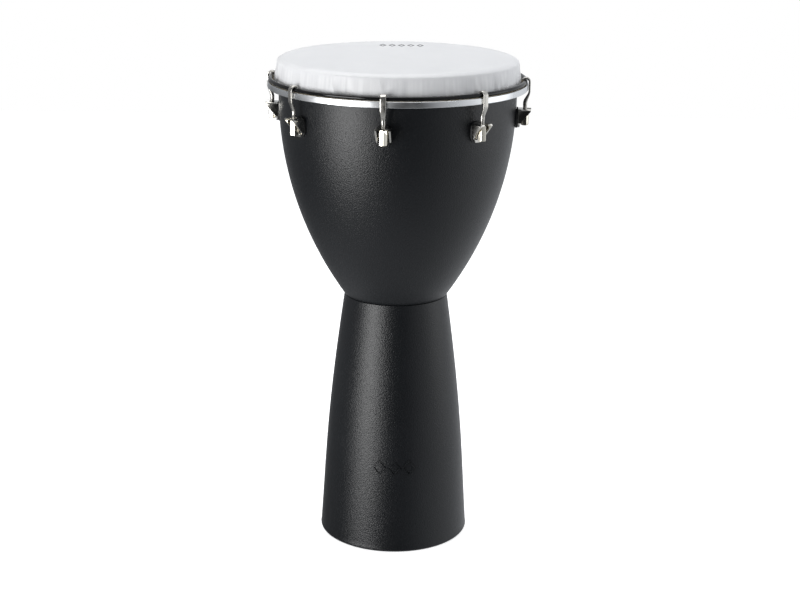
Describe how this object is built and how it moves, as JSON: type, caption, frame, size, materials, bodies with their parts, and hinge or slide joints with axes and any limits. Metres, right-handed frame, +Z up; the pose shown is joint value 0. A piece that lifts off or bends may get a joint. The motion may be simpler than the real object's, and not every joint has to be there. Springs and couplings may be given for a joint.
{
  "type": "djembe",
  "caption": "Rod-tuned goblet hand drum with a black moulded shell, a white synthetic head, metal hoops and tuning hooks drawn down by nuts.",
  "frame": {"origin": "centre of the drum's base, on the floor it stands on", "axes": "+Z up the drum's axis to the playing face; -Y faces the viewer, with the first tuning point 6 degrees from -Y towards -X"},
  "size_m": [0.3238, 0.3238, 0.61],
  "materials": {
    "shell": "satin black, fine orange-peel grain",
    "head_film": "smooth satin white film",
    "hoop_metal": "bright drawn",
    "resin": "cast amber",
    "ring_coat": "glossy black powder coat",
    "hook_metal": "nickel-plated, satin",
    "nut_metal": "nickel-plated, bright",
    "bracket_metal": "nickel-plated, bright edges",
    "pad_rubber": "matt black",
    "screw_metal": "zinc-plated",
    "backing_metal": "zinc-plated"
  },
  "bodies": {
    "drum": {"bowl_shell": "shell", "foot_shell": "shell", "drumhead_film": "head_film", "flesh_hoop": "hoop_metal", "hoop_resin": "resin", "counterhoop": "ring_coat", "lug_bracket_1": "bracket_metal", "lug_bracket_2": "bracket_metal", "lug_bracket_3": "bracket_metal", "lug_bracket_4": "bracket_metal", "lug_bracket_5": "bracket_metal", "lug_bracket_6": "bracket_metal", "lug_bracket_7": "bracket_metal", "lug_bracket_8": "bracket_metal", "lug_pad_1": "pad_rubber", "lug_pad_2": "pad_rubber", "lug_pad_3": "pad_rubber", "lug_pad_4": "pad_rubber", "lug_pad_5": "pad_rubber", "lug_pad_6": "pad_rubber", "lug_pad_7": "pad_rubber", "lug_pad_8": "pad_rubber", "lug_screw_1": "screw_metal", "lug_screw_2": "screw_metal", "lug_screw_3": "screw_metal", "lug_screw_4": "screw_metal", "lug_screw_5": "screw_metal", "lug_screw_6": "screw_metal", "lug_screw_7": "screw_metal", "lug_screw_8": "screw_metal", "backing_nut_1": "backing_metal", "backing_nut_2": "backing_metal", "backing_nut_3": "backing_metal", "backing_nut_4": "backing_metal", "backing_nut_5": "backing_metal", "backing_nut_6": "backing_metal", "backing_nut_7": "backing_metal", "backing_nut_8": "backing_metal"},
    "hook_1": {"tuning_hook_1": "hook_metal"},
    "nut_1": {"tuning_nut_1": "nut_metal"},
    "hook_2": {"tuning_hook_2": "hook_metal"},
    "nut_2": {"tuning_nut_2": "nut_metal"},
    "hook_3": {"tuning_hook_3": "hook_metal"},
    "nut_3": {"tuning_nut_3": "nut_metal"},
    "hook_4": {"tuning_hook_4": "hook_metal"},
    "nut_4": {"tuning_nut_4": "nut_metal"},
    "hook_5": {"tuning_hook_5": "hook_metal"},
    "nut_5": {"tuning_nut_5": "nut_metal"},
    "hook_6": {"tuning_hook_6": "hook_metal"},
    "nut_6": {"tuning_nut_6": "nut_metal"},
    "hook_7": {"tuning_hook_7": "hook_metal"},
    "nut_7": {"tuning_nut_7": "nut_metal"},
    "hook_8": {"tuning_hook_8": "hook_metal"},
    "nut_8": {"tuning_nut_8": "nut_metal"}
  },
  "joints": [
    {"name": "nut_1_turn", "type": "hinge", "parent": "drum", "child": "nut_1", "pos_m": [-0.01615, -0.15365, 0.54], "axis": [0, 0, -1], "range_deg": [0, 1080]},
    {"name": "hook_1_rise", "type": "slide", "parent": "drum", "child": "hook_1", "axis": [0, 0, 1], "range_m": [0, 0.0024]},
    {"name": "nut_2_turn", "type": "hinge", "parent": "drum", "child": "nut_2", "pos_m": [0.09723, -0.12007, 0.54], "axis": [0, 0, -1], "range_deg": [0, 1080]},
    {"name": "hook_2_rise", "type": "slide", "parent": "drum", "child": "hook_2", "axis": [0, 0, 1], "range_m": [0, 0.0024]},
    {"name": "nut_3_turn", "type": "hinge", "parent": "drum", "child": "nut_3", "pos_m": [0.15365, -0.01615, 0.54], "axis": [0, 0, -1], "range_deg": [0, 1080]},
    {"name": "hook_3_rise", "type": "slide", "parent": "drum", "child": "hook_3", "axis": [0, 0, 1], "range_m": [0, 0.0024]},
    {"name": "nut_4_turn", "type": "hinge", "parent": "drum", "child": "nut_4", "pos_m": [0.12007, 0.09723, 0.54], "axis": [0, 0, -1], "range_deg": [0, 1080]},
    {"name": "hook_4_rise", "type": "slide", "parent": "drum", "child": "hook_4", "axis": [0, 0, 1], "range_m": [0, 0.0024]},
    {"name": "nut_5_turn", "type": "hinge", "parent": "drum", "child": "nut_5", "pos_m": [0.01615, 0.15365, 0.54], "axis": [0, 0, -1], "range_deg": [0, 1080]},
    {"name": "hook_5_rise", "type": "slide", "parent": "drum", "child": "hook_5", "axis": [0, 0, 1], "range_m": [0, 0.0024]},
    {"name": "nut_6_turn", "type": "hinge", "parent": "drum", "child": "nut_6", "pos_m": [-0.09723, 0.12007, 0.54], "axis": [0, 0, -1], "range_deg": [0, 1080]},
    {"name": "hook_6_rise", "type": "slide", "parent": "drum", "child": "hook_6", "axis": [0, 0, 1], "range_m": [0, 0.0024]},
    {"name": "nut_7_turn", "type": "hinge", "parent": "drum", "child": "nut_7", "pos_m": [-0.15365, 0.01615, 0.54], "axis": [0, 0, -1], "range_deg": [0, 1080]},
    {"name": "hook_7_rise", "type": "slide", "parent": "drum", "child": "hook_7", "axis": [0, 0, 1], "range_m": [0, 0.0024]},
    {"name": "nut_8_turn", "type": "hinge", "parent": "drum", "child": "nut_8", "pos_m": [-0.12007, -0.09723, 0.54], "axis": [0, 0, -1], "range_deg": [0, 1080]},
    {"name": "hook_8_rise", "type": "slide", "parent": "drum", "child": "hook_8", "axis": [0, 0, 1], "range_m": [0, 0.0024]}
  ],
  "couplings": [
    {"joint": "nut_1_turn", "follows": "hook_1_rise", "rad_per_m": 7854},
    {"joint": "nut_2_turn", "follows": "hook_2_rise", "rad_per_m": 7854},
    {"joint": "nut_3_turn", "follows": "hook_3_rise", "rad_per_m": 7854},
    {"joint": "nut_4_turn", "follows": "hook_4_rise", "rad_per_m": 7854},
    {"joint": "nut_5_turn", "follows": "hook_5_rise", "rad_per_m": 7854},
    {"joint": "nut_6_turn", "follows": "hook_6_rise", "rad_per_m": 7854},
    {"joint": "nut_7_turn", "follows": "hook_7_rise", "rad_per_m": 7854},
    {"joint": "nut_8_turn", "follows": "hook_8_rise", "rad_per_m": 7854}
  ]
}
